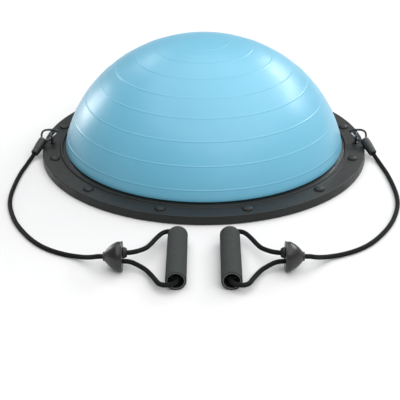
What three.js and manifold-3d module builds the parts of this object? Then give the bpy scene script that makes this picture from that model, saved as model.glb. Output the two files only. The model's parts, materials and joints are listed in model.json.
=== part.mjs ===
// A balance dome trainer: an air-filled half ball on a round platform, with an elastic band and a
// foam handle clipped to an eye on each side. Millimetres, +Z up. The origin is on the floor under
// the middle of the dome, the user stands at -Y, and the left band is on the -X side.
import * as THREE from 'three';
import { mergeVertices } from 'three/addons/utils/BufferGeometryUtils.js';
import Module from 'manifold-3d';

const wasm = await Module();
wasm.setup();

// ---- Driving sizes ---------------------------------------------------------------------------
const GAP = 0.3; // air left between parts that touch
const PLATFORM_R = 316;
const PLATFORM_BOTTOM = 3;
const PLATFORM_FLOOR = 8.7; // top of the plate, inside the dome
const LAND_TOP = 12.8; // raised outer land that takes the screws
const LAND_INNER_R = 294;

const RING_OUTER_R = 320;
const RING_FOOT_R = 321;
const RING_FOOT_Z = 1.5;
const RING_TOP = 17;
const RING_UNDER = LAND_TOP + GAP;
const RING_EDGE_R = 3; // rounding of the outer top edge
const LIP_TOP = 20;
const LIP_INNER_R = 280.8;
const LIP_OUTER_R = 284.8;
const LEDGE_LOW = 16.6; // the ring's inner ledge rises from here, under the dome's overhang
const LEDGE_TOP = 18.9;
const LEDGE_R = 269.2;

const DOME_R = 280.4; // half width of the dome's ellipse
const DOME_H = 258.1; // half height of the dome's ellipse
const DOME_CENTRE_Z = -26.8;
const DOME_WALL = 2.6;
const DOME_TURN_Z = 25.6; // where the dome starts to turn in above the ring
const TURN_R = 271.2; // middle of that turn
const TURN_Z = 23.6;
const TURN_BEND_R = 3.2;
const NECK_R = 268.5; // the dome's neck, inside the ring
const FLANGE_R = 292.4; // the dome's clamped edge
const FLANGE_BOTTOM = 9.2;
const FLANGE_TOP = 12.7;
const SEAL_INNER_R = 280; // rubber ring pressed under the flange
const SEAL_OUTER_R = 288;
const SEAL_BOTTOM = 7.2;
const SEAL_TOP = 8.9;
const SEAL_PLAY = 0.4; // of the seal in its groove

const SCREW_COUNT = 12;
const SCREW_CIRCLE_R = 298.8;
const SCREW_HEAD_R = 10;
const SCREW_HEAD_H = 4.6;
const SCREW_SHANK_R = 2.5;
const SCREW_TIP_Z = 5.6;

const FOOT_COUNT = 6;
const FOOT_CIRCLE_R = 262;
const FOOT_R = 15;
const CENTRE_FOOT_R = 30;
const FOOT_TOP = 2.7;
const PEG_R = 4;
const PEG_TOP = 6.8;

const VALVE_Y = 70;
const VALVE_HOLE_R = 10;
const VALVE_BORE_R = 5;
const VALVE_FLANGE_R = 14;
const VALVE_BOTTOM = 1.8;
const VALVE_TOP = 20;
const PLUG_CAP_R = 8;
const PLUG_BOTTOM = 0.7;
const PLUG_TOP = 17;

const EYE_X = -303;
const EYE_Y = -3;
const EYE_Z = 29.7; // middle of the eye's ring
const EYE_RING_R = 9.6;
const EYE_WIRE_R = 2.1;
const EYE_SHANK_R = 3;
const EYE_FOOT_R = 5.6;
const EYE_FOOT_T = 1.8;
const EYE_SHANK_BOTTOM = 3.6;
const WASHER_R = 6.6;
const NUT_R = 6; // to its corners
const NUT_POCKET_R = 7.2;
const NUT_POCKET_TOP = 8;

const CORD_R = 4;
const CORD_BORE_R = 4.8;
const CORD_SIDES = 8;

const CLIP_HEAD = new THREE.Vector3(-319, -16.1, 29.4); // middle of the end cap's wide face
const CLIP_AXIS = new THREE.Vector3(0.412, 0.773, 0.483).normalize(); // from the cord to the hook
const CLIP_SIDE = new THREE.Vector3(0.822, -0.086, -0.563); // from the hook's back to its gate
const HOOK_WIRE_R = 2.1;
const HOOK_BASE_R = 6.6;
const HOOK_BASE_T = 3;
const GATE_R = 1.4;
const GATE_PIN_R = 0.9;
const GATE_PIN_HALF = 2.9; // half the pin's length
const KNUCKLE_R = 2.1;
const FORK_R = 3;
const FORK_HALF = 2.4; // half the fork's width
const CAP_LENGTH = 36;
const CAP_R = 9.1;
const CAP_TAIL_R = 7.7;
const CAP_MOUTH_R = 5.8; // wider start of the cord's hole

const CUP_FACE_X = -131.3;
const CUP_Y = -471.5;
const CUP_R = 25;
const CUP_TAIL_X = -163;
const HUB_Y = -465;
const HUB_Z = 28.2;
const HUB_R = 9.3;
const HUB_END_X = -124;
const LOWER_HOLE_Y = -472.6;
const LOWER_HOLE_Z = 16.6;

const GRIP_X = -44;
const GRIP_R = 17;
const GRIP_NEAR_Y = -535;
const GRIP_FAR_Y = -384;
const CORE_R = 14.2; // the stiff tube inside the foam
const CORE_BORE_R = 13.2;
const COLLAR_DEPTH = 24; // of the collars that hold the cord in the middle of the tube
const COLLAR_T = 5;
const COLLAR_BORE_R = 5.8;
const LOOP_BEND_R = 16; // turn of the loop cord into each end of the grip
const MOUTH_OFFSET = 2.5; // how far the turning cord leans away from the grip's middle line

// ---- Materials -------------------------------------------------------------------------------
const paint = (color, roughness, metalness = 0) =>
  new THREE.MeshStandardMaterial({ color, roughness, metalness });
const charcoalPlastic = paint(0x3b4042, 0.55);
const domeVinyl = paint(0x72b6d2, 0.35);
const blackRubber = paint(0x1d1f20, 0.8);
const darkPlastic = paint(0x333536, 0.5);
const darkSteel = paint(0x4a4c4e, 0.3, 0.9);
const brightSteel = paint(0xb9bcbd, 0.25, 1);
const braid = paint(0x26292a, 0.85);
const foam = paint(0x3d413f, 0.9);

// ---- Geometry helpers ------------------------------------------------------------------------
const p2 = (x, y) => new THREE.Vector2(x, y);

// Points on an arc, ends included; angles in degrees.
function arc(cx, cy, radius, from, to, steps) {
  const points = [];
  for (let i = 0; i <= steps; i++) {
    const angle = THREE.MathUtils.degToRad(from + ((to - from) * i) / steps);
    points.push(p2(cx + radius * Math.cos(angle), cy + radius * Math.sin(angle)));
  }
  return points;
}

// Merges equal vertices, drops faces with no area and turns the surface to face outwards.
function closed(source) {
  const bare = source.index ? source.clone() : mergeVertices(source);
  bare.deleteAttribute('normal');
  bare.deleteAttribute('uv');
  const geometry = mergeVertices(bare, 1e-3);
  const position = geometry.attributes.position;
  const corner = [new THREE.Vector3(), new THREE.Vector3(), new THREE.Vector3()];
  const faces = [];
  let volume = 0;
  for (let i = 0; i < geometry.index.count; i += 3) {
    const ids = [0, 1, 2].map((k) => geometry.index.getX(i + k));
    if (ids[0] === ids[1] || ids[1] === ids[2] || ids[2] === ids[0]) continue;
    ids.forEach((id, k) => corner[k].fromBufferAttribute(position, id));
    volume += corner[0].dot(corner[1].clone().cross(corner[2]));
    faces.push(ids);
  }
  const outward = volume > 0 ? faces : faces.map(([a, b, c]) => [a, c, b]);
  geometry.setIndex(outward.flat());
  geometry.computeVertexNormals();
  return geometry;
}

// A body of revolution about +Z from (radius, height) points.
function turned(points, segments) {
  return closed(new THREE.LatheGeometry(points, segments).rotateX(Math.PI / 2));
}

// The same for a profile that closes on itself away from the axis.
function turnedRing(points, segments) {
  return turned([...points, points[0].clone()], segments);
}

// A solid rod of one radius about +Z.
function rod(radius, from, to, segments) {
  return turned([p2(0, from), p2(radius, from), p2(radius, to), p2(0, to)], segments);
}

// A tube about +Z.
function tube(inner, outer, from, to, segments) {
  const profile = [p2(inner, from), p2(outer, from), p2(outer, to), p2(inner, to)];
  return turnedRing(profile, segments);
}

// Lays a body made about +Z along +X.
const alongX = (geometry) => geometry.rotateY(Math.PI / 2);

// Lays a body made about +Z along +Y.
const alongY = (geometry) => geometry.rotateX(-Math.PI / 2);

// A round section swept along a smooth curve through the points.
function swept(points, radius, sides, steps, closedEnds = false) {
  const path = new THREE.CatmullRomCurve3(points, closedEnds, 'centripetal');
  const section = new THREE.Shape(arc(0, 0, radius, 0, 360 - 360 / sides, sides - 1));
  const options = { steps, bevelEnabled: false, extrudePath: path };
  return closed(new THREE.ExtrudeGeometry(section, options));
}

function toManifold(geometry) {
  const vertProperties = new Float32Array(geometry.attributes.position.array);
  const triVerts = new Uint32Array(geometry.index.array);
  return new wasm.Manifold(new wasm.Mesh({ numProp: 3, vertProperties, triVerts }));
}

function fromManifold(solid) {
  const mesh = solid.getMesh();
  const geometry = new THREE.BufferGeometry();
  geometry.setAttribute('position', new THREE.BufferAttribute(mesh.vertProperties, 3));
  geometry.setIndex(new THREE.BufferAttribute(mesh.triVerts, 1));
  return closed(geometry);
}

function cut(body, tools) {
  return fromManifold(tools.reduce((left, tool) => left.subtract(toManifold(tool)), toManifold(body)));
}

function join(pieces) {
  const [first, ...rest] = pieces.map(toManifold);
  return fromManifold(rest.reduce((whole, piece) => whole.add(piece), first));
}

// The same body on the other side of the object.
function mirrored(geometry) {
  return closed(geometry.clone().scale(-1, 1, 1));
}

// ---- Assembly --------------------------------------------------------------------------------
const group = new THREE.Group();
group.name = 'balance_dome_trainer';

function add(name, geometry, material) {
  const mesh = new THREE.Mesh(geometry, material);
  mesh.name = name;
  group.add(mesh);
  return mesh;
}

// Adds the left piece and its mirror image.
function addPair(name, geometry, material) {
  add(`left_${name}`, geometry, material);
  add(`right_${name}`, mirrored(geometry), material);
}

// Places around the dome's axis, as a list of [x, y].
function around(count, radius, firstDegrees) {
  return arc(0, 0, radius, firstDegrees, firstDegrees + 360 - 360 / count, count - 1)
    .map((point) => [point.x, point.y]);
}

const screwPlaces = around(SCREW_COUNT, SCREW_CIRCLE_R, 15);
const footPlaces = around(FOOT_COUNT, FOOT_CIRCLE_R, 30);
const eyePlaces = [[EYE_X, EYE_Y], [-EYE_X, EYE_Y]];
const BIG = 48; // segments of the large round parts

// Drills for the platform and the clamp ring.
const screwDrills = screwPlaces.map(([x, y]) => rod(SCREW_SHANK_R + 0.4, 5, 30, 8).translate(x, y, 0));
const shankDrills = eyePlaces.map(([x, y]) => rod(EYE_SHANK_R + 0.4, 1, 30, 12).translate(x, y, 0));

function makePlatform() {
  const profile = [
    p2(0, PLATFORM_BOTTOM),
    p2(PLATFORM_R, PLATFORM_BOTTOM),
    p2(PLATFORM_R, LAND_TOP),
    p2(LAND_INNER_R, LAND_TOP),
    p2(LAND_INNER_R, PLATFORM_FLOOR),
    p2(SEAL_OUTER_R + SEAL_PLAY, PLATFORM_FLOOR),
    p2(SEAL_OUTER_R + SEAL_PLAY, SEAL_BOTTOM - GAP), // groove for the seal ring
    p2(SEAL_INNER_R - SEAL_PLAY, SEAL_BOTTOM - GAP),
    p2(SEAL_INNER_R - SEAL_PLAY, PLATFORM_FLOOR),
    p2(0, PLATFORM_FLOOR),
  ];
  const pegDrills = [...footPlaces, [0, 0]].map(([x, y]) =>
    rod(PEG_R + GAP, 1, PEG_TOP + 0.4, 12).translate(x, y, 0));
  const nutPockets = eyePlaces.map(([x, y]) =>
    rod(NUT_POCKET_R, 1, NUT_POCKET_TOP, 12).translate(x, y, 0));
  const valveHole = rod(VALVE_HOLE_R, 1, 12, 16).translate(0, VALVE_Y, 0);
  return cut(turned(profile, BIG), [
    ...screwDrills, ...pegDrills, ...nutPockets, ...shankDrills, valveHole,
  ]);
}

function makeClampRing() {
  const edge = arc(
    RING_OUTER_R - RING_EDGE_R, RING_TOP - RING_EDGE_R, RING_EDGE_R, 0, 90, 3);
  const profile = [
    p2(PLATFORM_R + 0.4, RING_FOOT_Z),
    p2(RING_FOOT_R, RING_FOOT_Z),
    ...edge,
    p2(LIP_OUTER_R + 1, RING_TOP),
    p2(LIP_OUTER_R, LIP_TOP),
    p2(LIP_INNER_R, LIP_TOP),
    p2(LIP_INNER_R, LEDGE_LOW),
    p2(LEDGE_R + 3, LEDGE_TOP),
    p2(LEDGE_R, LEDGE_TOP),
    p2(LEDGE_R, RING_UNDER),
    p2(PLATFORM_R + 0.4, RING_UNDER),
  ];
  return cut(turnedRing(profile, BIG), [...screwDrills, ...shankDrills]);
}

// The dome's wall follows an ellipse down to its turn above the ring. Below that it tucks in to a
// neck, and its open edge turns outwards into the clamped flange.
function domeArc(inset, lowestZ, steps) {
  const start = Math.asin((lowestZ - DOME_CENTRE_Z) / (DOME_H - inset));
  const points = [];
  for (let i = 0; i <= steps; i++) {
    const angle = start + ((Math.PI / 2 - start) * i) / steps;
    const radius = i === steps ? 0 : (DOME_R - inset) * Math.cos(angle);
    points.push(p2(radius, DOME_CENTRE_Z + (DOME_H - inset) * Math.sin(angle)));
  }
  return points;
}

function makeDome() {
  const innerNeckR = NECK_R - DOME_WALL;
  const outerBottom = TURN_Z - TURN_BEND_R;
  const innerBottom = outerBottom + DOME_WALL;
  const profile = [
    ...domeArc(DOME_WALL, DOME_TURN_Z, 6).reverse(),
    p2(TURN_R, innerBottom),
    p2(innerNeckR + 1, innerBottom),
    p2(innerNeckR, innerBottom - 1),
    p2(innerNeckR, FLANGE_BOTTOM),
    p2(FLANGE_R, FLANGE_BOTTOM),
    p2(FLANGE_R, FLANGE_TOP),
    p2(NECK_R, FLANGE_TOP),
    p2(NECK_R, outerBottom - 1),
    p2(NECK_R + 1, outerBottom),
    ...arc(TURN_R, TURN_Z, TURN_BEND_R, -90, 0, 3),
    ...domeArc(0, DOME_TURN_Z, 10),
  ];
  return turned(profile, BIG);
}

function makeScrew() {
  const under = RING_TOP + GAP;
  const head = under + 1;
  return turned([
    p2(0, SCREW_TIP_Z),
    p2(SCREW_SHANK_R, SCREW_TIP_Z),
    p2(SCREW_SHANK_R, under),
    p2(SCREW_HEAD_R, under),
    p2(SCREW_HEAD_R, head),
    p2(SCREW_HEAD_R * 0.8, head + SCREW_HEAD_H * 0.55),
    p2(SCREW_HEAD_R * 0.45, under + SCREW_HEAD_H * 0.93),
    p2(0, under + SCREW_HEAD_H),
  ], 12);
}

function makeFoot(radius) {
  return turned([
    p2(0, 0),
    p2(radius - 1, 0),
    p2(radius, 1),
    p2(radius, FOOT_TOP),
    p2(PEG_R, FOOT_TOP),
    p2(PEG_R, PEG_TOP),
    p2(0, PEG_TOP),
  ], 16);
}

add('base_platform', makePlatform(), charcoalPlastic);
add('clamp_ring', makeClampRing(), charcoalPlastic);
add('dome_membrane', makeDome(), domeVinyl);
add('seal_ring', tube(SEAL_INNER_R, SEAL_OUTER_R, SEAL_BOTTOM, SEAL_TOP, BIG), blackRubber);
screwPlaces.forEach(([x, y], i) => {
  add(`rim_screw_${i + 1}`, makeScrew().translate(x, y, 0), charcoalPlastic);
});
footPlaces.forEach(([x, y], i) => {
  add(`rubber_foot_${i + 1}`, makeFoot(FOOT_R).translate(x, y, 0), blackRubber);
});
add('centre_foot', makeFoot(CENTRE_FOOT_R), blackRubber);

// The valve: a seat through the plate and a plug that pulls out downwards.
function makeValveSeat() {
  return turnedRing([
    p2(VALVE_BORE_R, VALVE_BOTTOM),
    p2(VALVE_FLANGE_R, VALVE_BOTTOM),
    p2(VALVE_FLANGE_R, PLATFORM_BOTTOM - GAP),
    p2(VALVE_HOLE_R - GAP, PLATFORM_BOTTOM - GAP),
    p2(VALVE_HOLE_R - GAP, VALVE_TOP),
    p2(VALVE_BORE_R, VALVE_TOP),
  ], 16);
}

function makeValvePlug() {
  return turned([
    p2(0, PLUG_BOTTOM),
    p2(PLUG_CAP_R, PLUG_BOTTOM),
    p2(PLUG_CAP_R, VALVE_BOTTOM - GAP),
    p2(VALVE_BORE_R - 0.4, VALVE_BOTTOM - GAP),
    p2(VALVE_BORE_R - 1, PLUG_TOP),
    p2(0, PLUG_TOP),
  ], 16);
}

add('valve_seat', makeValveSeat().translate(0, VALVE_Y, 0), blackRubber);
add('valve_plug', makeValvePlug().translate(0, VALVE_Y, 0), darkPlastic);

// ---- Anchor eyes -----------------------------------------------------------------------------
function makeEye() {
  const footTop = RING_TOP + GAP + EYE_FOOT_T;
  const ring = closed(new THREE.TorusGeometry(EYE_RING_R, EYE_WIRE_R, 8, 18).rotateY(Math.PI / 2));
  const foot = turned([
    p2(0, EYE_SHANK_BOTTOM),
    p2(EYE_SHANK_R, EYE_SHANK_BOTTOM),
    p2(EYE_SHANK_R, RING_TOP + GAP),
    p2(EYE_FOOT_R, RING_TOP + GAP),
    p2(EYE_FOOT_R, footTop),
    p2(EYE_WIRE_R + 0.6, footTop + 0.6),
    p2(EYE_WIRE_R + 0.6, EYE_Z - EYE_RING_R),
    p2(0, EYE_Z - EYE_RING_R),
  ], 12);
  return join([foot, ring.translate(0, 0, EYE_Z)]).translate(EYE_X, EYE_Y, 0);
}

addPair('anchor_eye', makeEye(), darkSteel);
const underEye = (geometry) => geometry.translate(EYE_X, EYE_Y, 0);
addPair('anchor_washer', underEye(tube(EYE_SHANK_R + GAP, WASHER_R, 6.7, 7.7, 12)), darkSteel);
addPair('anchor_nut', underEye(tube(EYE_SHANK_R + 0.9, NUT_R, 3.3, 6.4, 6)), darkSteel);

// ---- Clip and end cap ------------------------------------------------------------------------
// Made about the clip's own axes: x along the clip from the cap's wide face, y towards the gate.
const side = CLIP_SIDE.clone().addScaledVector(CLIP_AXIS, -CLIP_SIDE.dot(CLIP_AXIS)).normalize();
const clipFrame = new THREE.Matrix4()
  .makeBasis(CLIP_AXIS, side, CLIP_AXIS.clone().cross(side))
  .setPosition(CLIP_HEAD);
const onClip = (geometry) => geometry.applyMatrix4(clipFrame);
const clipPoint = (x, y, z = 0) => new THREE.Vector3(x, y, z).applyMatrix4(clipFrame);

const PIVOT = { x: 6.5, y: 9.3 }; // gate hinge
const GATE_TIP = { x: 28.7, y: 14.6 }; // where the gate rests, just inside the wire's free end

function makeHook() {
  const v = (x, y) => new THREE.Vector3(x, y, 0);
  const wire = swept([
    v(-2, -4.2), v(2, -5), v(9.5, -8.8), v(15, -9.3), v(20.5, -6.8), v(25.5, -1.6),
    v(29.8, 4.8), v(32.6, 10), v(33.6, 13.8), v(32.2, 16.6),
  ], HOOK_WIRE_R, 8, 22);
  const base = alongX(rod(HOOK_BASE_R, -HOOK_BASE_T, 0, 16));
  const stub = swept([v(-2, 4), v(1.5, 5.2), v(4, 8.8), v(PIVOT.x, PIVOT.y)], HOOK_WIRE_R, 8, 5);
  const fork = rod(FORK_R, -FORK_HALF, FORK_HALF, 12).translate(PIVOT.x, PIVOT.y, 0);
  const slot = new THREE.BoxGeometry(9, 9, 2 * (GATE_R + GAP)).translate(PIVOT.x + 1.6, PIVOT.y, 0);
  const pinHole = rod(GATE_PIN_R + GAP, -5, 5, 8).translate(PIVOT.x, PIVOT.y, 0);
  const body = join([base, wire, stub, fork]);
  return cut(body, [closed(slot), pinHole]);
}

function makeGate() {
  const from = new THREE.Vector3(PIVOT.x, PIVOT.y, 0);
  const to = new THREE.Vector3(GATE_TIP.x, GATE_TIP.y, 0);
  const bar = swept([from, from.clone().lerp(to, 0.5), to], GATE_R, 8, 3);
  const knuckle = rod(KNUCKLE_R, -GATE_R, GATE_R, 12).translate(PIVOT.x, PIVOT.y, 0);
  const pinHole = rod(GATE_PIN_R + GAP, -5, 5, 8).translate(PIVOT.x, PIVOT.y, 0);
  return cut(join([closed(bar), knuckle]), [pinHole]);
}

addPair('hook', onClip(makeHook()), darkSteel);
addPair('gate', onClip(makeGate()), brightSteel);
const gatePin = rod(GATE_PIN_R, -GATE_PIN_HALF, GATE_PIN_HALF, 8).translate(PIVOT.x, PIVOT.y, 0);
addPair('gate_pin', onClip(gatePin), darkSteel);

function makeEndCap() {
  const seatR = HOOK_BASE_R + GAP;
  const seatX = -HOOK_BASE_T - GAP;
  return alongX(turnedRing([
    p2(seatR, 0),
    p2(seatR, seatX),
    p2(6.1, seatX),
    p2(6.1, -24),
    p2(CORD_BORE_R, -27),
    p2(CORD_BORE_R, -CAP_LENGTH + 2.5),
    p2(CAP_MOUTH_R, -CAP_LENGTH + 1.5),
    p2(CAP_MOUTH_R, -CAP_LENGTH),
    p2(CAP_TAIL_R - 0.6, -CAP_LENGTH),
    p2(CAP_TAIL_R, -CAP_LENGTH + 1.2),
    p2(CAP_R - 0.1, -18),
    p2(CAP_R, -9),
    p2(CAP_R - 0.2, -3),
    p2(8, 0),
  ].reverse(), 16));
}

addPair('end_cap', onClip(makeEndCap()), darkPlastic);
addPair('cord_crimp', onClip(alongX(tube(CORD_R + GAP, 5.8, -22, -8, 12))), brightSteel);

// ---- Band cord -------------------------------------------------------------------------------
const CORD_Z = CORD_R + 0.1; // height of a cord's middle where it lies on the floor
const at = (x, y, z) => new THREE.Vector3(x, y, z);
const bandRoute = [
  clipPoint(-9, 0), clipPoint(-22, 0), clipPoint(-CAP_LENGTH, 0), clipPoint(-46, 0),
  at(-341.4, -62, 4.9), at(-344, -76, CORD_Z), at(-350.5, -121, CORD_Z), at(-354, -173, CORD_Z),
  at(-354, -215, CORD_Z), at(-350, -249, CORD_Z), at(-341, -284, CORD_Z), at(-328, -319, CORD_Z),
  at(-310.5, -352, CORD_Z), at(-291, -381, CORD_Z), at(-272, -402, CORD_Z), at(-251, -418, CORD_Z),
  at(-228, -430.5, 4.6), at(-208, -440.5, 6.8), at(-193, -452.5, 12.4), at(-181.5, -463.5, 19),
  at(-173, -469.8, 23.8), at(-165, CUP_Y, CUP_R), at(-155, CUP_Y, CUP_R), at(-144.5, CUP_Y, CUP_R),
];
addPair('band_cord', swept(bandRoute, CORD_R, CORD_SIDES, 42), braid);

// ---- Stopper cup and hub ---------------------------------------------------------------------
function makeCup() {
  const back = CUP_TAIL_X - CUP_FACE_X;
  const body = turned([
    p2(0, back),
    p2(6.6, back),
    p2(7.6, back + 0.8),
    p2(7.6, back + 2.8),
    p2(11.6, back + 6),
    p2(16.6, back + 10.8),
    p2(20.8, back + 16.4),
    p2(23.6, back + 22),
    p2(24, -8.4),
    p2(24, -2.6),
    p2(CUP_R, -1.4),
    p2(CUP_R - 0.4, 0),
    p2(0, 0),
  ], 20);
  const placed = alongX(body).translate(CUP_FACE_X, CUP_Y, CUP_R);
  const bandBore = alongX(rod(CORD_BORE_R, -40, -12.5, 12)).translate(CUP_FACE_X, CUP_Y, CUP_R);
  const hubBore = alongX(rod(6.6, -9.6, 5, 12)).translate(CUP_FACE_X, HUB_Y, HUB_Z);
  const lowerBore = alongX(rod(CORD_BORE_R, -10, 5, 12))
    .translate(CUP_FACE_X, LOWER_HOLE_Y, LOWER_HOLE_Z);
  return cut(placed, [bandBore, hubBore, lowerBore]);
}

function makeHub() {
  const front = HUB_END_X - CUP_FACE_X;
  return alongX(turned([
    p2(0, -9.2),
    p2(6.2, -9.2),
    p2(6.2, GAP),
    p2(HUB_R, GAP),
    p2(HUB_R, front - 5),
    p2(HUB_R - 1.1, front - 2.2),
    p2(HUB_R - 3.6, front),
    p2(CORD_BORE_R, front),
    p2(CORD_BORE_R, -6),
    p2(0, -6),
  ], 16)).translate(CUP_FACE_X, HUB_Y, HUB_Z);
}

addPair('stopper_cup', makeCup(), darkPlastic);
addPair('loop_hub', makeHub(), blackRubber);

// ---- Loop cord and grip ----------------------------------------------------------------------
// A quarter turn and more into a mouth of the grip, rising or falling between two heights.
function bend(centreY, from, to, startZ, endZ, steps) {
  const centreX = GRIP_X + MOUTH_OFFSET - LOOP_BEND_R;
  return arc(centreX, centreY, LOOP_BEND_R, from, to, steps).map((point, i) =>
    at(point.x, point.y, startZ + ((endZ - startZ) * i) / steps));
}

const farBendY = GRIP_FAR_Y - 4;
const nearBendY = GRIP_NEAR_Y + 8;
const loopRoute = [
  at(CUP_FACE_X - 5, HUB_Y, HUB_Z), at(HUB_END_X + 1.5, HUB_Y, HUB_Z), at(-112.5, -459.8, 26.8),
  at(-103, -450, 24.4), at(-94.5, -437.5, 21.8), at(-88, -421.5, 19.6), at(-81.8, -403, 17.8),
  ...bend(farBendY, 150, 0, 16.6, GRIP_R, 5),
  at(GRIP_X, -412, GRIP_R), at(GRIP_X, -436, GRIP_R), at(GRIP_X, -460, GRIP_R),
  at(GRIP_X, -484, GRIP_R), at(GRIP_X, -507, GRIP_R),
  ...bend(nearBendY, 0, -150, GRIP_R, 13.2, 6),
  at(-78, -518.5, 11.2), at(-85.5, -501, 9.4), at(-93.5, -487, 9), at(-104.5, -477.5, 11),
  at(-117, -472.4, 14.6),
  at(-127, LOWER_HOLE_Y, LOWER_HOLE_Z), at(CUP_FACE_X - 9, LOWER_HOLE_Y, LOWER_HOLE_Z),
];
addPair('loop_cord', swept(loopRoute, CORD_R, CORD_SIDES, 50), braid);

// Half the grip from its middle; the other half is its mirror image.
function makeFoam() {
  const half = (GRIP_FAR_Y - GRIP_NEAR_Y) / 2;
  const end = [
    p2(CORE_R + GAP, half),
    ...arc(GRIP_R - 2.2, half - 2.2, 2.2, 90, 0, 3),
  ];
  const otherEnd = end.map((point) => p2(point.x, -point.y)).reverse();
  const middleY = (GRIP_FAR_Y + GRIP_NEAR_Y) / 2;
  return alongY(turnedRing([...end, ...otherEnd], 16)).translate(GRIP_X, middleY, GRIP_R);
}

// A tube on the grip's middle line, between two distances along Y.
function gripTube(inner, outer, from, to) {
  return alongY(tube(inner, outer, from, to, 16)).translate(GRIP_X, 0, GRIP_R);
}

const makeCollar = (from) => gripTube(COLLAR_BORE_R, CORE_BORE_R - GAP, from, from + COLLAR_T);
const core = gripTube(CORE_BORE_R, CORE_R, GRIP_NEAR_Y, GRIP_FAR_Y);
addPair('grip_core', core, darkPlastic);
addPair('grip_collar_far', makeCollar(GRIP_FAR_Y - COLLAR_DEPTH - COLLAR_T), darkPlastic);
addPair('grip_collar_near', makeCollar(GRIP_NEAR_Y + COLLAR_DEPTH), darkPlastic);
addPair('foam_grip', makeFoam(), foam);

export default group;
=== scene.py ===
"""Looks of the balance dome trainer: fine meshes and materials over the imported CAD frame.

Lengths are metres in the frame: the origin is on the floor under the dome, -Y is towards the
user, +Z is up. Shapes are made for the left side; the right side is their mirror image in X.
"""

import json
import math

import bmesh
import bpy
from mathutils import Matrix, Vector

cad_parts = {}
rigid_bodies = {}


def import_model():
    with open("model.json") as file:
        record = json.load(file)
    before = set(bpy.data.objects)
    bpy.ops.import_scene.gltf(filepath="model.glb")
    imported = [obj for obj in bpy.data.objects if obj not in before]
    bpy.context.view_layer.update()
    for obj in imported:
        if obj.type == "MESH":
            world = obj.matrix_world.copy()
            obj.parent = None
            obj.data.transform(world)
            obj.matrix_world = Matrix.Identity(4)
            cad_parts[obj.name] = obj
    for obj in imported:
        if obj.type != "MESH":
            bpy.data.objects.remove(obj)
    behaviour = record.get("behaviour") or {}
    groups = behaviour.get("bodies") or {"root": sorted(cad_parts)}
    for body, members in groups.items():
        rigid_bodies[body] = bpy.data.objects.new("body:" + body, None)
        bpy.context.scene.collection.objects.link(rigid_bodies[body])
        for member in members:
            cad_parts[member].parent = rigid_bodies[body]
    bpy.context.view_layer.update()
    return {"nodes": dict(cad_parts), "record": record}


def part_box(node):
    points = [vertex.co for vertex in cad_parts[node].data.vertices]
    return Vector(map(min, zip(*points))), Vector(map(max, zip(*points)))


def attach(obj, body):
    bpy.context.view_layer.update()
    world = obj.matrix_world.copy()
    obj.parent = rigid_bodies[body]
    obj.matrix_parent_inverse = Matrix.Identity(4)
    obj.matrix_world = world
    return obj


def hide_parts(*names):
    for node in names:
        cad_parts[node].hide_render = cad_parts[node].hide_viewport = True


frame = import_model()

MM = 0.001
SIDES = {"left": 1, "right": -1}  # factor on X from the left side's shape
CURVE_SHARE = 24  # points worked out between two points of a smooth line


# ---- Camera ----------------------------------------------------------------------------------
camera_data = bpy.data.cameras.new("camera")
camera_data.sensor_width = 36
camera_data.lens = 97.7
camera_data.shift_x = -0.0095
camera = bpy.data.objects.new("camera", camera_data)
bpy.context.scene.collection.objects.link(camera)
camera.location = (0, -1.9917, 0.9018)
camera.rotation_euler = (math.radians(63), 0, 0)
bpy.context.scene.camera = camera


# ---- Curves ----------------------------------------------------------------------------------
def arc(cx, cy, radius, start, end, steps):
    """Points on an arc, ends included; angles in degrees."""
    angles = [math.radians(start + (end - start) * i / steps) for i in range(steps + 1)]
    return [(cx + radius * math.cos(a), cy + radius * math.sin(a)) for a in angles]


def smooth_line(points, step):
    """A centripetal Catmull-Rom curve through the points, sampled at an even step."""
    p = [Vector(q) for q in points]
    p = [2 * p[0] - p[1], *p, 2 * p[-1] - p[-2]]
    fine = []
    for a, b, c, d in zip(p, p[1:], p[2:], p[3:]):
        t1 = (b - a).length ** 0.5
        t2 = t1 + (c - b).length ** 0.5
        t3 = t2 + (d - c).length ** 0.5
        for i in range(CURVE_SHARE):
            t = t1 + (t2 - t1) * i / CURVE_SHARE
            ab = a.lerp(b, t / t1)
            bc = b.lerp(c, (t - t1) / (t2 - t1))
            cd = c.lerp(d, (t - t2) / (t3 - t2))
            abc = ab.lerp(bc, t / t2)
            bcd = bc.lerp(cd, (t - t1) / (t3 - t1))
            fine.append(abc.lerp(bcd, (t - t1) / (t2 - t1)))
    fine.append(p[-2])
    return even(fine, step)


def even(line, step):
    """The same line with its points an even distance apart, both ends kept."""
    lengths = [0.0]
    for a, b in zip(line, line[1:]):
        lengths.append(lengths[-1] + (b - a).length)
    count = max(2, round(lengths[-1] / step))
    out = []
    k = 0
    for i in range(count + 1):
        target = lengths[-1] * i / count
        while k < len(line) - 2 and lengths[k + 1] < target:
            k += 1
        share = (target - lengths[k]) / max(lengths[k + 1] - lengths[k], 1e-12)
        out.append(line[k].lerp(line[k + 1], min(1.0, share)))
    return out


def line_length(line):
    """The length of a line of points."""
    return sum((b - a).length for a, b in zip(line, line[1:]))


# ---- Clip frame: x along the clip away from the cord, y from the hook's back to its gate -------
CLIP_HEAD = Vector((-319, -16.1, 29.4)) * MM
CLIP_AXIS = Vector((0.412, 0.773, 0.483)).normalized()
CLIP_SIDE = Vector((0.822, -0.086, -0.563))
CLIP_SIDE = (CLIP_SIDE - CLIP_SIDE.dot(CLIP_AXIS) * CLIP_AXIS).normalized()
CLIP_NORMAL = CLIP_AXIS.cross(CLIP_SIDE)
CAP_LENGTH = 36


def on_clip(x, y, z=0.0):
    """A point given in the clip's own axes, in millimetres, on the left side."""
    return CLIP_HEAD + (x * CLIP_AXIS + y * CLIP_SIDE + z * CLIP_NORMAL) * MM


def flip(point, side):
    """The left side's point on the given side."""
    return Vector((point.x * SIDES[side], point.y, point.z))


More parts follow.
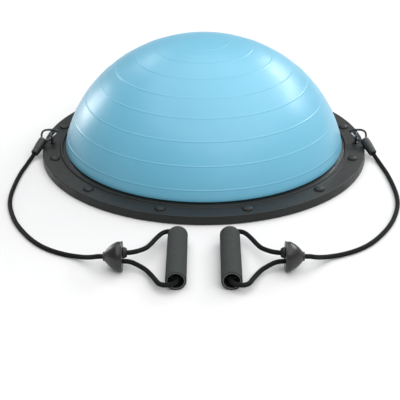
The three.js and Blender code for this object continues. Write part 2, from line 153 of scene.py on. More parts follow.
# ---- Cords: routes repeated from the CAD -------------------------------------------------------
CORD_R = 4 * MM
CORD_Z = 4.1
CUP_FACE_X = -131.3
CUP_Y = -471.5
CUP_Z = 25
HUB_Y = -465
HUB_Z = 28.2
HUB_END_X = -124
LOWER_HOLE_Y = -472.6
LOWER_HOLE_Z = 16.6
GRIP_X = -44
GRIP_Z = 17
GRIP_NEAR_Y = -535
GRIP_FAR_Y = -384
LOOP_BEND_R = 16
MOUTH_OFFSET = 2.5
FAR_BEND_Y = GRIP_FAR_Y - 4
NEAR_BEND_Y = GRIP_NEAR_Y + 8


def at(x, y, z):
    """A point given in millimetres."""
    return Vector((x, y, z)) * MM


def bend(centre_y, start, end, start_z, end_z, steps):
    """The loop cord's turn into one end of the grip, changing height on the way."""
    centre_x = GRIP_X + MOUTH_OFFSET - LOOP_BEND_R
    flat = arc(centre_x, centre_y, LOOP_BEND_R, start, end, steps)
    return [at(x, y, start_z + (end_z - start_z) * i / steps) for i, (x, y) in enumerate(flat)]


BAND_ROUTE = [
    on_clip(-22, 0), on_clip(-CAP_LENGTH, 0), on_clip(-46, 0),
    at(-341.4, -62, 4.9), at(-344, -76, CORD_Z), at(-350.5, -121, CORD_Z), at(-354, -173, CORD_Z),
    at(-354, -215, CORD_Z), at(-350, -249, CORD_Z), at(-341, -284, CORD_Z), at(-328, -319, CORD_Z),
    at(-310.5, -352, CORD_Z), at(-291, -381, CORD_Z), at(-272, -402, CORD_Z), at(-251, -418, CORD_Z),
    at(-228, -430.5, 4.6), at(-208, -440.5, 6.8), at(-193, -452.5, 12.4), at(-181.5, -463.5, 19),
    at(-173, -469.8, 23.8), at(-165, CUP_Y, CUP_Z), at(-155, CUP_Y, CUP_Z),
    at(-144.5, CUP_Y, CUP_Z),
]
LOOP_ROUTE = [
    at(CUP_FACE_X - 5, HUB_Y, HUB_Z), at(HUB_END_X + 1.5, HUB_Y, HUB_Z),
    at(-112.5, -459.8, 26.8), at(-103, -450, 24.4), at(-94.5, -437.5, 21.8),
    at(-88, -421.5, 19.6), at(-81.8, -403, 17.8),
    *bend(FAR_BEND_Y, 150, 0, 16.6, GRIP_Z, 5),
    at(GRIP_X, -412, GRIP_Z), at(GRIP_X, -436, GRIP_Z), at(GRIP_X, -460, GRIP_Z),
    at(GRIP_X, -484, GRIP_Z), at(GRIP_X, -507, GRIP_Z),
    *bend(NEAR_BEND_Y, 0, -150, GRIP_Z, 13.2, 6),
    at(-78, -518.5, 11.2), at(-85.5, -501, 9.4), at(-93.5, -487, 9), at(-104.5, -477.5, 11),
    at(-117, -472.4, 14.6),
    at(-127, LOWER_HOLE_Y, LOWER_HOLE_Z), at(CUP_FACE_X - 9, LOWER_HOLE_Y, LOWER_HOLE_Z),
]


# ---- Materials -------------------------------------------------------------------------------
def new_material(name, color, roughness, metallic=0.0, specular=0.5, coat=0.0, coat_roughness=0.1):
    """A plain shader with its constant values set."""
    material = bpy.data.materials.new(name)
    material.use_nodes = True
    shader = material.node_tree.nodes["Principled BSDF"]
    shader.inputs["Base Color"].default_value = (*color, 1)
    shader.inputs["Roughness"].default_value = roughness
    shader.inputs["Metallic"].default_value = metallic
    shader.inputs["Specular IOR Level"].default_value = specular
    shader.inputs["Coat Weight"].default_value = coat
    shader.inputs["Coat Roughness"].default_value = coat_roughness
    return material


class Graph:
    """Short names for adding nodes to one material."""

    def __init__(self, material, coordinates="Object"):
        self.nodes = material.node_tree.nodes
        self.links = material.node_tree.links
        self.shader = self.nodes["Principled BSDF"]
        self.place = self.nodes.new("ShaderNodeTexCoord").outputs[coordinates]

    def add(self, kind, inputs=None, **settings):
        """A node with its settings, and its inputs set or linked."""
        node = self.nodes.new(kind)
        for key, value in settings.items():
            setattr(node, key, value)
        for key, value in (inputs or {}).items():
            if isinstance(value, bpy.types.NodeSocket):
                self.links.new(value, node.inputs[key])
            else:
                node.inputs[key].default_value = value
        return node

    def noise(self, scale, detail=2.0, roughness=0.5):
        """Cloudy noise, about 0.3 to 0.7."""
        inputs = {"Vector": self.place, "Scale": scale, "Detail": detail, "Roughness": roughness}
        return self.add("ShaderNodeTexNoise", inputs).outputs["Fac"]

    def ramp(self, value, low, high, to_low, to_high):
        """Maps value from low..high to to_low..to_high, clamped."""
        inputs = {"Value": value, "From Min": low, "From Max": high,
                  "To Min": to_low, "To Max": to_high}
        return self.add("ShaderNodeMapRange", inputs).outputs["Result"]

    def blend(self, factor, dark, light):
        """A colour between dark and light."""
        node = self.add("ShaderNodeMix", data_type="RGBA")
        self.links.new(factor, node.inputs["Factor"])
        node.inputs["A"].default_value = (*dark, 1)
        node.inputs["B"].default_value = (*light, 1)
        return node.outputs["Result"]

    def math(self, operation, a, b=0.0):
        return self.add("ShaderNodeMath", {0: a, 1: b}, operation=operation).outputs[0]

    def color(self, socket):
        self.links.new(socket, self.shader.inputs["Base Color"])

    def roughness(self, socket):
        self.links.new(socket, self.shader.inputs["Roughness"])

    def bump(self, height, distance, strength=1.0, under=None):
        """Relief of the given depth in metres, laid over another one if there is one under it."""
        inputs = {"Height": height, "Distance": distance, "Strength": strength}
        if under is not None:
            inputs["Normal"] = under
        normal = self.add("ShaderNodeBump", inputs).outputs["Normal"]
        self.links.new(normal, self.shader.inputs["Normal"])
        return normal


def moulded_plastic(name, dark, light, roughness, grain, specular=0.5):
    """Moulded plastic: fine grain, faint cloudiness and slightly uneven gloss."""
    material = new_material(name, dark, roughness, specular=specular)
    g = Graph(material)
    cloud = g.ramp(g.noise(14, 4), 0.3, 0.7, 0, 1)
    g.color(g.blend(cloud, dark, light))
    g.roughness(g.ramp(g.noise(60, 3), 0.3, 0.7, roughness - 0.07, roughness + 0.07))
    under = g.bump(g.noise(1100, 2), grain)
    g.bump(g.noise(220, 3), grain * 1.5, 0.6, under)
    return material


def dome_vinyl():
    """Blown vinyl: even colour, satin gloss with dull patches and a little waviness."""
    material = new_material("dome_vinyl", (0.138, 0.418, 0.575), 0.38, coat=0.15, coat_roughness=0.28)
    g = Graph(material)
    cloud = g.ramp(g.noise(7, 3), 0.3, 0.7, 0, 1)
    g.color(g.blend(cloud, (0.132, 0.408, 0.564), (0.147, 0.429, 0.586)))
    g.roughness(g.ramp(g.noise(35, 4), 0.3, 0.7, 0.33, 0.41))
    under = g.bump(g.noise(900, 2), 0.00003)
    g.bump(g.noise(24, 3), 0.0004, 0.5, under)
    return material


STRANDS = 6  # strands each way round the cord's sheath


def woven_sheath():
    """Two crossing sets of fine strands wound round the cord, from the tube's own coordinates."""
    material = new_material("woven_sheath", (0.02, 0.021, 0.022), 0.7, specular=0.12)
    g = Graph(material, "UV")
    split = g.add("ShaderNodeSeparateXYZ", {"Vector": g.place})
    around_cord = g.math("MULTIPLY", split.outputs["X"], 2 * math.pi * STRANDS)
    down_cord = g.math("MULTIPLY", split.outputs["Y"], 2 * math.pi * STRANDS)
    right = g.math("SINE", g.math("ADD", around_cord, down_cord))
    left = g.math("SINE", g.math("SUBTRACT", around_cord, down_cord))
    weave = g.ramp(g.math("MAXIMUM", right, left), 0.0, 1.0, 0, 1)
    g.color(g.blend(weave, (0.003, 0.0033, 0.0034), (0.0125, 0.0130, 0.0128)))
    g.roughness(g.ramp(weave, 0, 1, 0.85, 0.55))
    g.bump(weave, 0.00035)
    return material


def foam_skin():
    """Foam rubber: fine open pores over soft dents."""
    material = new_material("foam_skin", (0.045, 0.05, 0.048), 0.9, specular=0.25)
    g = Graph(material)
    pores = g.noise(1500, 3, 0.7)
    g.color(g.blend(g.ramp(pores, 0.35, 0.65, 0, 1), (0.024, 0.028, 0.027), (0.050, 0.056, 0.053)))
    g.roughness(g.ramp(g.noise(90, 3), 0.3, 0.7, 0.82, 0.97))
    under = g.bump(pores, 0.0003)
    g.bump(g.noise(160, 2), 0.0004, 0.4, under)
    return material


def plated_wire(name, dark, light, roughness):
    """Drawn and plated wire: fine lengthwise marks and a few dull patches."""
    material = new_material(name, dark, roughness, metallic=1.0)
    g = Graph(material)
    g.color(g.blend(g.ramp(g.noise(300, 3), 0.35, 0.7, 0, 1), dark, light))
    g.roughness(g.ramp(g.noise(700, 4), 0.3, 0.7, roughness - 0.06, roughness + 0.12))
    g.bump(g.noise(1800, 2), 0.00002)
    return material


def black_rubber():
    """Dull black rubber with a faint grain."""
    material = new_material("black_rubber", (0.014, 0.015, 0.016), 0.6, specular=0.4)
    g = Graph(material)
    cloud = g.ramp(g.noise(80, 4), 0.3, 0.7, 0, 1)
    g.color(g.blend(cloud, (0.006, 0.0065, 0.007), (0.011, 0.0115, 0.012)))
    g.roughness(g.ramp(g.noise(150, 3), 0.3, 0.7, 0.4, 0.6))
    g.bump(g.noise(900, 3), 0.00005)
    return material


RIM = moulded_plastic(
    "rim_plastic", (0.012, 0.0138, 0.0138), (0.0165, 0.0185, 0.0182), 0.4, 0.00006, 0.28)
PLASTIC = moulded_plastic(
    "dark_plastic", (0.0115, 0.012, 0.0113), (0.0175, 0.018, 0.0172), 0.34, 0.00004)
VINYL = dome_vinyl()
BRAID = woven_sheath()
FOAM = foam_skin()
RUBBER = black_rubber()
GLOSS = moulded_plastic("glossy_tube", (0.010, 0.0105, 0.0105), (0.014, 0.0145, 0.0145), 0.22, 0.00002)
# The tube's lip gets a much lighter grey than the tube itself: a painted highlight for the thin bright
# line round the grip's mouth.
LIP_PAINTED_HIGHLIGHT = moulded_plastic("tube_lip_painted_highlight", (0.10, 0.101, 0.102), (0.13, 0.131, 0.132), 0.25, 0.00002)
DARK_WIRE = plated_wire("dark_wire", (0.04, 0.042, 0.045), (0.10, 0.103, 0.106), 0.3)
BRIGHT_WIRE = plated_wire("bright_wire", (0.60, 0.61, 0.62), (0.78, 0.79, 0.80), 0.3)
SLOT_MATERIALS = {
    "platform_plastic": RIM,
    "dome_vinyl": VINYL,
    "black_rubber": RUBBER,
    "hard_plastic": PLASTIC,
    "dark_steel": DARK_WIRE,
    "bright_steel": BRIGHT_WIRE,
    "braid": BRAID,
    "foam": FOAM,
}
NODE_SLOTS = {s["node"]: s["material_slot"] for s in frame["record"]["subparts"]}
BODIES = frame["record"]["behaviour"]["bodies"]
NODE_BODIES = {node: body for body, nodes in BODIES.items() for node in nodes}
for node_name, node in frame["nodes"].items():
    node.data.materials.clear()
    node.data.materials.append(SLOT_MATERIALS[NODE_SLOTS[node_name]])


# ---- Mesh building ---------------------------------------------------------------------------
def piece(name, node, mesh_data, material=None, crease=35):
    """An object from (points, faces, uvs) that stands for a CAD node and rides on its body."""
    points, faces, uvs = mesh_data
    mesh = bpy.data.meshes.new(name)
    mesh.from_pydata([tuple(p) for p in points], [], faces)
    if uvs:
        layer = mesh.uv_layers.new(name="UVMap")
        for polygon, corners in zip(mesh.polygons, uvs):
            for loop, uv in zip(polygon.loop_indices, corners):
                layer.data[loop].uv = uv
    work = bmesh.new()
    work.from_mesh(mesh)
    bmesh.ops.recalc_face_normals(work, faces=work.faces)
    work.to_mesh(mesh)
    work.free()
    mesh.shade_smooth()
    mesh.set_sharp_from_angle(angle=math.radians(crease))
    obj = bpy.data.objects.new(name, mesh)
    bpy.context.scene.collection.objects.link(obj)
    slot = NODE_SLOTS[node]
    mesh.materials.append(material or SLOT_MATERIALS[slot])
    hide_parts(node)
    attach(obj, NODE_BODIES[node])
    return obj


def rounded(corners, steps=4):
    """A profile from (r, z, fillet) corners in millimetres, each corner rounded by its fillet."""
    out = []
    count = len(corners)
    for i, (x, y, fillet) in enumerate(corners):
        here = Vector((x, y))
        if fillet == 0 or i in (0, count - 1):
            out.append(here)
            continue
        before = Vector(corners[i - 1][:2]) - here
        after = Vector(corners[i + 1][:2]) - here
        reach = min(fillet, before.length * 0.49, after.length * 0.49)
        start = here + before.normalized() * reach
        end = here + after.normalized() * reach
        for k in range(steps + 1):
            t = k / steps
            out.append(start * (1 - t) ** 2 + here * 2 * t * (1 - t) + end * t ** 2)
    return out


def lathe(profile, segments, matrix=Matrix.Identity(4), closed=False):
    """Turns (r, z) points in millimetres about +Z and places the result; shares on-axis points."""
    points = []
    rings = []
    for r, z in profile:
        if abs(r) < 1e-9:
            rings.append([len(points)] * segments)
            points.append(matrix @ (Vector((0, 0, z)) * MM))
            continue
        rings.append(list(range(len(points), len(points) + segments)))
        for i in range(segments):
            a = 2 * math.pi * i / segments
            points.append(matrix @ (Vector((r * math.cos(a), r * math.sin(a), z)) * MM))
    faces = []
    pairs = list(zip(rings, rings[1:]))
    if closed:
        pairs.append((rings[-1], rings[0]))
    for lower, upper in pairs:
        for i in range(segments):
            k = (i + 1) % segments
            corners = [lower[i], lower[k], upper[k], upper[i]]
            faces.append(list(dict.fromkeys(corners)))
    faces = [f for f in faces if len(f) > 2]
    return points, faces, None


def frames_along(line):
    """Two vectors square to the line at each of its points, turning as little as they can."""
    tangents = []
    for i in range(len(line)):
        ahead = line[min(i + 1, len(line) - 1)] - line[max(i - 1, 0)]
        tangents.append(ahead.normalized())
    first = tangents[0].orthogonal().normalized()
    out = []
    for i, t in enumerate(tangents):
        if i:
            first = (first - first.dot(t) * t).normalized()
        out.append((first.copy(), t.cross(first)))
    return out


def swept(line, radii, sides):
    """A round tube along a line, with a flat fan at each end; radii is one number or a list."""
    if not isinstance(radii, list):
        radii = [radii] * len(line)
    points = []
    for centre, (u, v), radius in zip(line, frames_along(line), radii):
        for i in range(sides):
            a = 2 * math.pi * i / sides
            points.append(centre + radius * (math.cos(a) * u + math.sin(a) * v))
    faces = []
    uvs = []
    girth = 2 * math.pi * max(radii)
    run = [0.0]
    for a, b in zip(line, line[1:]):
        run.append(run[-1] + (b - a).length / girth)
    for j in range(len(line) - 1):
        for i in range(sides):
            k = (i + 1) % sides
            faces.append([j * sides + i, j * sides + k, (j + 1) * sides + k, (j + 1) * sides + i])
            u0, u1 = i / sides, (i + 1) / sides
            uvs.append([(u0, run[j]), (u1, run[j]), (u1, run[j + 1]), (u0, run[j + 1])])
    for ring, centre, at_run in ((0, line[0], run[0]), (len(line) - 1, line[-1], run[-1])):
        middle = len(points)
        points.append(centre)
        for i in range(sides):
            k = (i + 1) % sides
            faces.append([ring * sides + i, ring * sides + k, middle])
            uvs.append([(i / sides, at_run), ((i + 1) / sides, at_run), (i / sides, at_run)])
    return points, faces, uvs


def tapered_ends(line, radius, reach):
    """Radii along a line that round off to small tips over the given reach."""
    total = line_length(line)
    out = []
    for i in range(len(line)):
        s = total * i / (len(line) - 1)
        edge = min(s, total - s)
        x = max(0.0, 1 - edge / reach)
        out.append(radius * max(0.08, math.sqrt(max(0.0, 1 - x * x))))
    return out


def joined(*meshes):
    """Several (points, faces, uvs) as one."""
    points, faces = [], []
    for p, f, _ in meshes:
        faces += [[i + len(points) for i in face] for face in f]
        points += list(p)
    return points, faces, None


def along(origin, direction):
    """A matrix that carries +Z to the direction and the origin to the point."""
    return Matrix.Translation(origin) @ direction.to_track_quat("Z", "Y").to_matrix().to_4x4()


# ---- Cords -----------------------------------------------------------------------------------
band_cords = {}
loop_cords = {}
for side in SIDES:
    for kind, route, store in (("band", BAND_ROUTE, band_cords), ("loop", LOOP_ROUTE, loop_cords)):
        line = smooth_line([flip(p, side) for p in route], 2 * MM)
        store[side] = piece(f"{side}_{kind}_cord_sheath", f"{side}_{kind}_cord",
                            swept(line, CORD_R, 28), crease=60)

# ---- Dome ------------------------------------------------------------------------------------
DOME_R = 280.4
DOME_H = 258.1
DOME_Z = -26.8
DOME_TURN_Z = 25.6
TURN = (271.2, 23.6)
TURN_BEND_R = 3.2
RIB_ARCS = [48, 94, 137, 181, 222, 266, 310, 353]  # distance of each rib from the top
RIB_HEIGHT = 0.42  # the eight raised rings round the dome
RIB_HALF = 1.7  # half a rib's width
PROFILE_STEPS = 1500  # points along the dome's profile, thinned out between the ribs
THIN_OUT = 12
RIB_REACH = 3  # how far from a rib the profile stays fine


def dome_profile():
    """The dome's outer curve from the top down, with its raised ribs, in millimetres."""
    out = []
    run = 0.0
    last = Vector((0, DOME_Z + DOME_H))
    for i in range(PROFILE_STEPS + 1):
        a = math.pi / 2 * (1 - i / PROFILE_STEPS)
        here = Vector((DOME_R * math.cos(a), DOME_Z + DOME_H * math.sin(a)))
        if here.y < DOME_TURN_Z:
            break
        run += (here - last).length
        last = here
        rib = min(abs(run - r) for r in RIB_ARCS)
        if rib > RIB_REACH and i % THIN_OUT:
            continue
        normal = Vector((here.x / DOME_R ** 2, (here.y - DOME_Z) / DOME_H ** 2)).normalized()
        lift = RIB_HEIGHT * math.cos(math.pi / 2 * min(1, rib / RIB_HALF)) ** 1.2
        out.append(here + normal * lift)
    out[0] = Vector((0, DOME_Z + DOME_H))
    return out


BIG = 288  # sides of the large round parts
dome_turn = [Vector(point) for point in arc(*TURN, TURN_BEND_R, 0, -90, 8)]
dome_neck = rounded([
    (270.5, 20.4, 0), (268.5, 20.4, 1.5), (268.5, 12.7, 0.4), (292.3, 12.7, 0.3), (292.3, 9.3, 0.3),
    (266, 9.3, 0),
])
piece("dome_skin", "dome_membrane", lathe(dome_profile() + dome_turn + dome_neck, BIG))

# ---- Platform and rim ------------------------------------------------------------------------
CLAMP_RING = rounded([
    (316.4, 1.5, 0), (321, 1.5, 0.6), (320, 14, 1), (320, 17, 3.2), (286.5, 17, 1.2),
    (285.2, 20, 0.7), (280.8, 20, 0.9), (280.8, 16.6, 0.8), (272.2, 18.9, 0.6),
    (269.2, 18.9, 0.3), (269.2, 13.1, 0.2), (316.4, 13.1, 0),
], 6)
piece("rim_ring", "clamp_ring", lathe(CLAMP_RING, BIG, closed=True), crease=50)


def upright(node):
    """A matrix to the middle of a CAD node's box, on the floor."""
    low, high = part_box(node)
    return Matrix.Translation(((low.x + high.x) / 2, (low.y + high.y) / 2, 0))


SCREW_COUNT = 12
SCREW_HEAD = rounded([
    (0, 21.9, 0), (5, 21.7, 2), (8.4, 20.2, 2), (9.9, 18.3, 0.9), (9.9, 17.2, 0.3), (0, 17.2, 0),
], 5)
for i in range(1, SCREW_COUNT + 1):
    piece(f"screw_head_{i}", f"rim_screw_{i}", lathe(SCREW_HEAD, 40, upright(f"rim_screw_{i}")))


FOOT_COUNT = 6
FOOT_R = 15
CENTRE_FOOT_R = 30


def foot_profile(radius):
    """A rubber foot with three shallow grooves in its rounded sole."""
    sole = [(0, 0.3, 0)]
    for share in (0.3, 0.55, 0.8):
        r = radius * share
        sole += [(r - 1.2, 0, 0.3), (r - 0.6, 0.5, 0.3), (r + 0.6, 0.5, 0.3), (r + 1.2, 0, 0.3)]
    return rounded([*sole, (radius - 0.7, 0.05, 0.5), (radius, 0.9, 0.5), (radius, 2.7, 0.3),
                    (4, 2.7, 0.2), (4, 6.8, 0.4), (0, 6.8, 0)])


for i in range(1, FOOT_COUNT + 1):
    node_name = f"rubber_foot_{i}"
    piece(f"foot_pad_{i}", node_name, lathe(foot_profile(FOOT_R), 56, upright(node_name)))
piece("foot_pad_centre", "centre_foot", lathe(foot_profile(CENTRE_FOOT_R), 80, upright("centre_foot")))
VALVE_SEAT = rounded([
    (5, 1.8, 0.3), (14, 1.8, 0.6), (14, 2.7, 0.2), (9.7, 2.7, 0), (9.7, 20, 0.6), (5, 20, 0.3),
], 4)
VALVE_PLUG = rounded([
    (0, 1, 0), (5.5, 1, 0.3), (6, 0.7, 0.3), (8, 0.7, 0.4), (8, 1.5, 0.2), (4.6, 1.5, 0.2),
    (4.5, 5, 0.3), (4.7, 5.6, 0.3), (4.2, 12, 1), (4, 17, 1.2), (0, 17, 0),
], 4)
piece("valve_seat_ring", "valve_seat", lathe(VALVE_SEAT, 56, upright("valve_seat"), closed=True))
piece("valve_plug_stem", "valve_plug", lathe(VALVE_PLUG, 56, upright("valve_plug")))

# ---- Eye, clip and end cap -------------------------------------------------------------------
EYE_X = -303
EYE_Y = -3
EYE_Z = 29.7
EYE_RING_R = 9.6
EYE_WIRE_R = 2.1
HOOK_WIRE_R = 2.1
HOOK_LINE = [
    (-1, -4.5), (2, -5), (9.5, -8.8), (15, -9.3), (20.5, -6.8), (25.5, -1.6), (29.8, 4.8),
    (32.6, 10), (33.6, 13.8), (32.2, 16.6),
]
STUB_LINE = [(-1, 4), (0.6, 4.5), (1.9, 5.9)]
GATE_PIVOT = (6.5, 9.3)
GATE_TIP = (28.7, 14.6)
GATE_R = 1.4
FORK_ROOT = (1.8, 5.7)
FORK_ROOT_R = 1.9
FORK_HINGE_R = 2.9
CHEEK_INSIDE = 1.75
CHEEK_OUTSIDE = 2.5
KNUCKLE = rounded([(0, -1.4, 0), (2.1, -1.4, 0.3), (2.1, 1.4, 0.3), (0, 1.4, 0)], 3)
PIN = rounded([(0, -2.9, 0), (0.9, -2.9, 0.3), (0.9, 2.9, 0.3), (0, 2.9, 0)], 3)
HOOK_BASE = rounded([(0, 0.2, 0), (6.4, 0.1, 0.4), (6.6, -0.4, 0.2), (6.6, -3, 0), (0, -3, 0)], 4)
CAP_PROFILE = rounded([
    (6.9, -3.3, 0), (6.9, 0, 0.3), (8.1, 0, 0.7), (8.9, -3.5, 2), (9.1, -9, 3), (9.0, -18, 5),
    (7.75, -34.6, 1), (7.1, -36, 0.7), (5.8, -36, 0.4), (5.8, -34.5, 0.4), (4.9, -33.5, 0.3),
    (4.9, -27, 0), (6.1, -24, 0), (6.1, -3.3, 0),
], 5)
EYE_FOOT = rounded([
    (0, 20.6, 0), (2.4, 20.6, 0), (2.8, 19.7, 0.5), (5.5, 19, 0.9), (5.5, 17.3, 0.3), (3, 17.3, 0),
    (3, 3.6, 0), (0, 3.6, 0),
], 5)


def torus(centre, u, v, radius, wire, steps, sides):
    """A closed ring of wire in the plane of the two vectors."""
    axis = u.cross(v)
    points = []
    for j in range(steps):
        turn = 2 * math.pi * j / steps
        out = math.cos(turn) * u + math.sin(turn) * v
        for i in range(sides):
            a = 2 * math.pi * i / sides
            points.append(centre + radius * out + wire * (math.cos(a) * out + math.sin(a) * axis))
    faces = []
    for j in range(steps):
        for i in range(sides):
            k = (i + 1) % sides
            m = (j + 1) % steps
            faces.append([j * sides + i, j * sides + k, m * sides + k, m * sides + i])
    return points, faces, None


def fork_outline():
    """A cheek of the gate's fork seen from its side: wide at the hinge, narrow at the stub."""
    (x0, y0), (x1, y1) = FORK_ROOT, GATE_PIVOT
    lean = math.degrees(math.atan2(y1 - y0, x1 - x0))
    spread = math.degrees(math.acos((FORK_HINGE_R - FORK_ROOT_R) / math.hypot(x1 - x0, y1 - y0)))
    hinge_end = arc(x1, y1, FORK_HINGE_R, lean - 180 + spread, lean + 180 - spread, 18)
    root_end = arc(x0, y0, FORK_ROOT_R, lean + 180 - spread, lean + 180 + spread, 10)
    return hinge_end + root_end


def fork_cheek(side, near, far):
    """One cheek between two distances from the clip's middle plane, with softened edges."""
    outline = fork_outline()
    middle = sum((Vector(p) for p in outline), Vector((0, 0))) / len(outline)
    edge = (far - near) / 5
    layers = [(near, 0.94), (near + edge, 1), (far - edge, 1), (far, 0.9)]  # distance, size
    points = []
    for height, scale in layers:
        for corner in outline:
            x, y = middle + (Vector(corner) - middle) * scale
            points.append(flip(on_clip(x, y, height), side))
    count = len(outline)
    faces = [list(range(count)), list(range(3 * count, 4 * count))]
    for k in range(len(layers) - 1):
        for i in range(count):
            j = (i + 1) % count
            faces.append([k * count + i, k * count + j, (k + 1) * count + j, (k + 1) * count + i])
    return points, faces, None


def clip_wire(side, corners, radius, tip):
    """A round wire through points in the clip's plane, its ends rounded off over the tip length."""
    line = smooth_line([flip(on_clip(x, y), side) for x, y in corners], 0.5 * MM)
    return swept(line, tapered_ends(line, radius * MM, tip * MM), 20)


def add_eye(side):
    """The screw eye in the rim, with its foot."""
    eye = flip(at(EYE_X, EYE_Y, EYE_Z), side)
    across, up = Vector((0, 1, 0)), Vector((0, 0, 1))
    ring = torus(eye, across, up, EYE_RING_R * MM, EYE_WIRE_R * MM, 64, 18)
    foot = lathe(EYE_FOOT, 36, Matrix.Translation((eye.x, eye.y, 0)))
    piece(f"{side}_eye_ring", f"{side}_anchor_eye", joined(ring, foot))


def add_clip(side):
    """The hook with its fork, and the gate on its pin."""
    clip = along(flip(CLIP_HEAD, side), flip(CLIP_AXIS, side))
    hook = joined(
        clip_wire(side, HOOK_LINE, HOOK_WIRE_R, 1.6),
        clip_wire(side, STUB_LINE, HOOK_WIRE_R, 1.6),
        lathe(HOOK_BASE, 40, clip),
        fork_cheek(side, CHEEK_INSIDE, CHEEK_OUTSIDE),
        fork_cheek(side, -CHEEK_INSIDE, -CHEEK_OUTSIDE),
    )
    piece(f"{side}_hook_wire", f"{side}_hook", hook)
    bar = clip_wire(side, [GATE_PIVOT, GATE_TIP], GATE_R, 1.2)
    hinge = along(flip(on_clip(*GATE_PIVOT), side), flip(CLIP_NORMAL, side))
    piece(f"{side}_gate_bar", f"{side}_gate", joined(bar, lathe(KNUCKLE, 28, hinge)))
    piece(f"{side}_pin_rod", f"{side}_gate_pin", lathe(PIN, 20, hinge))


def add_cap(side):
    """The end cap between the clip and the band."""
    clip = along(flip(CLIP_HEAD, side), flip(CLIP_AXIS, side))
    return piece(f"{side}_cap_shell", f"{side}_end_cap", lathe(CAP_PROFILE, 56, clip, closed=True))


for side in SIDES:
    add_eye(side)
    add_clip(side)
    add_cap(side)

# ---- Stopper cup and hub ---------------------------------------------------------------------
CUP_PROFILE = rounded([
    (0, -16, 0), (4.7, -16, 0), (4.7, -31.7, 0.3), (6.6, -31.7, 0.6), (7.6, -30.9, 0.5),
    (7.6, -28.8, 0.5), (11.6, -25.6, 3), (16.6, -20.8, 5), (20.8, -15.2, 5), (23.6, -9.6, 1.4),
    (24, -8.4, 0.6), (24, -2.6, 0.8), (25, -1.4, 0.5), (24.6, 0, 0.5), (22, -0.2, 0.8), (0, -0.2, 0),
], 6)
HUB_PROFILE = rounded([
    (0, 6.6, 0), (4.2, 6.6, 0), (4.5, 7.2, 0.3), (6.6, 7, 1.8), (8.9, 3.8, 2.6), (9.3, 0.3, 0.4),
    (0, 0.3, 0),
], 7)
for side in SIDES:
    inward = flip(Vector((1, 0, 0)), side)
    face = flip(at(CUP_FACE_X, CUP_Y, CUP_Z), side)
    piece(f"{side}_cup_shell", f"{side}_stopper_cup",
                       lathe(CUP_PROFILE, 72, along(face, inward)))
    hub_face = flip(at(CUP_FACE_X, HUB_Y, HUB_Z), side)
    piece(f"{side}_hub_plug", f"{side}_loop_hub",
                       lathe(HUB_PROFILE, 48, along(hub_face, inward)))

# ---- Grip ------------------------------------------------------------------------------------
GRIP_R = 17
CORE_R = 14.2
CORE_BORE_R = 13.2
COLLAR_DEPTH = 24
FOAM_BORE_R = 14.5
GRIP_HALF = (GRIP_FAR_Y - GRIP_NEAR_Y) / 2
GRIP_ENDS = {"far": (GRIP_FAR_Y, 1), "near": (GRIP_NEAR_Y, -1)}  # Y of the mouth, way it faces
LIP_DEPTH = 1  # the tube's rounded lip stands in for this much of each end
CORE_HALF = GRIP_HALF - LIP_DEPTH
FOAM_PROFILE = rounded([
    (FOAM_BORE_R, 0, 0), (FOAM_BORE_R, GRIP_HALF, 0.8), (GRIP_R, GRIP_HALF, 2.4),
    (GRIP_R, -GRIP_HALF, 2.4), (FOAM_BORE_R, -GRIP_HALF, 0.8),
], 7)
CORE_PROFILE = rounded([
    (CORE_BORE_R, 0, 0), (CORE_BORE_R, CORE_HALF, 0), (CORE_R, CORE_HALF, 0),
    (CORE_R, -CORE_HALF, 0), (CORE_BORE_R, -CORE_HALF, 0),
], 4)
LIP_PROFILE = rounded([
    (13.1, -1.4, 0), (14.3, -1.4, 0), (14.3, 0, 0.4), (13.1, 0, 0.4), (13.1, -1.3, 0),
], 4)
COLLAR_PROFILE = rounded([
    (5.8, -5, 0), (12.9, -5, 0), (12.9, 0, 0.8), (10.6, 0, 0.5), (10, -1, 0.4), (7.4, -1, 0.4),
    (7, 0, 0.4), (5.8, 0, 0.5),
], 4)


def grip_mouth(side, end, depth):
    """A matrix to a depth inside one end of the grip, with +Z out of its mouth."""
    y, way = GRIP_ENDS[end]
    return along(flip(at(GRIP_X, y - way * depth, GRIP_Z), side), Vector((0, way, 0)))


def add_grip(side):
    """The foam handle on its tube, and the collars that keep the cord in the middle."""
    middle = grip_mouth(side, "far", GRIP_HALF)
    foam = lathe(FOAM_PROFILE, 72, middle, closed=True)
    piece(f"{side}_grip_foam", f"{side}_foam_grip", foam)
    core = lathe(CORE_PROFILE, 72, middle, closed=True)
    piece(f"{side}_core_tube", f"{side}_grip_core", core, GLOSS)
    # The lips wear a lighter grey than the core tube: a painted highlight round each mouth.
    lips = [lathe(LIP_PROFILE, 72, grip_mouth(side, end, 0), closed=True) for end in GRIP_ENDS]
    piece(f"{side}_core_lips", f"{side}_grip_core", joined(*lips), LIP_PAINTED_HIGHLIGHT)
    for end in GRIP_ENDS:
        collar = lathe(COLLAR_PROFILE, 48, grip_mouth(side, end, COLLAR_DEPTH), closed=True)
        piece(f"{side}_collar_{end}", f"{side}_grip_collar_{end}", collar)


for side in SIDES:
    add_grip(side)


# ---- Floor and light -------------------------------------------------------------------------
def studio_floor():
    """White to look at and in reflections; it throws less soft light back up, as on a lit set."""
    material = bpy.data.materials.new("studio_floor")
    material.use_nodes = True
    tree = material.node_tree
    tree.nodes.clear()
    seen = tree.nodes.new("ShaderNodeBsdfDiffuse")
    seen.inputs["Color"].default_value = (0.65, 0.65, 0.65, 1)
    bounced = tree.nodes.new("ShaderNodeBsdfDiffuse")
    bounced.inputs["Color"].default_value = (0.32, 0.32, 0.32, 1)
    path = tree.nodes.new("ShaderNodeLightPath")
    mix = tree.nodes.new("ShaderNodeMixShader")
    output = tree.nodes.new("ShaderNodeOutputMaterial")
    tree.links.new(path.outputs["Is Diffuse Ray"], mix.inputs[0])
    tree.links.new(seen.outputs[0], mix.inputs[1])
    tree.links.new(bounced.outputs[0], mix.inputs[2])
    tree.links.new(mix.outputs[0], output.inputs["Surface"])
    return material


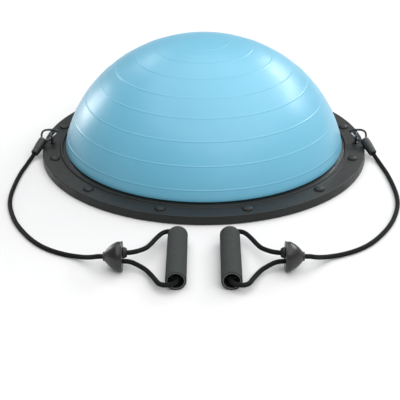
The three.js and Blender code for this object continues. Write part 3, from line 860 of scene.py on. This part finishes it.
FLOOR_HALF = 30
corners = [(-1, -1), (1, -1), (1, 1), (-1, 1)]
floor_corners = [(x * FLOOR_HALF, y * FLOOR_HALF, 0) for x, y in corners]
floor_mesh = bpy.data.meshes.new("floor")
floor_mesh.from_pydata(floor_corners, [], [(0, 1, 2, 3)])
floor_mesh.materials.append(studio_floor())
floor = bpy.data.objects.new("floor", floor_mesh)
bpy.context.scene.collection.objects.link(floor)


def studio_world():
    """Even white surroundings that are dimmer on the left than on the right."""
    world = bpy.data.worlds.new("studio")
    world.use_nodes = True
    tree = world.node_tree
    place = tree.nodes.new("ShaderNodeTexCoord")
    split = tree.nodes.new("ShaderNodeSeparateXYZ")
    level = tree.nodes.new("ShaderNodeMapRange")
    level.inputs["From Min"].default_value = -0.7
    level.inputs["From Max"].default_value = 0.7
    level.inputs["To Min"].default_value = 0.16
    level.inputs["To Max"].default_value = 0.46
    tree.links.new(place.outputs["Generated"], split.inputs[0])
    tree.links.new(split.outputs["X"], level.inputs["Value"])
    tree.links.new(level.outputs["Result"], tree.nodes["Background"].inputs["Strength"])
    tree.nodes["Background"].inputs["Color"].default_value = (1, 1, 1, 1)
    return world


bpy.context.scene.world = studio_world()


def add_light(name, kind, place, target, energy, mirrored):
    """A light aimed at the target; only mirrored lights show as highlights."""
    data = bpy.data.lights.new(name, kind)
    data.energy = energy
    light = bpy.data.objects.new(name, data)
    bpy.context.scene.collection.objects.link(light)
    light.location = place
    light.rotation_euler = (Vector(target) - Vector(place)).to_track_quat("-Z", "Y").to_euler()
    light.visible_glossy = mirrored
    return light


def softbox(name, place, size, power, mirrored=True):
    """A rectangular light aimed at the object."""
    light = add_light(name, "AREA", place, (0, 0, 0.1), power, mirrored)
    light.data.shape = "RECTANGLE"
    light.data.size, light.data.size_y = size
    return light


def keep_off(light, material):
    """The light no longer falls on the objects of one material."""
    shaded = bpy.data.collections.new(f"{light.name}_keeps_off")
    for obj in bpy.data.objects:
        if obj.type == "MESH" and material.name in obj.data.materials:
            shaded.objects.link(obj)
    for entry in shaded.collection_objects:
        entry.light_linking.link_state = "EXCLUDE"
    light.light_linking.receiver_collection = shaded


key = add_light("key", "SUN", (0.45, -0.1, 3), (0, 0, 0), 2.75, True)
key.data.angle = math.radians(95)
softbox("front_fill", (0.7, -2.7, 1.9), (2.6, 1.6), 42, False)
softbox("right_strip", (1.35, 1.15, 1.07), (1.4, 0.34), 15)
left_strip = softbox("left_strip", (-1.6, 1.3, 0.4), (0.5, 0.7), 10)
keep_off(left_strip, RIM)
softbox("left_spot", (-0.85, 1.45, 1.3), (0.5, 0.4), 2.5)
bpy.context.scene.view_settings.view_transform = "Standard"
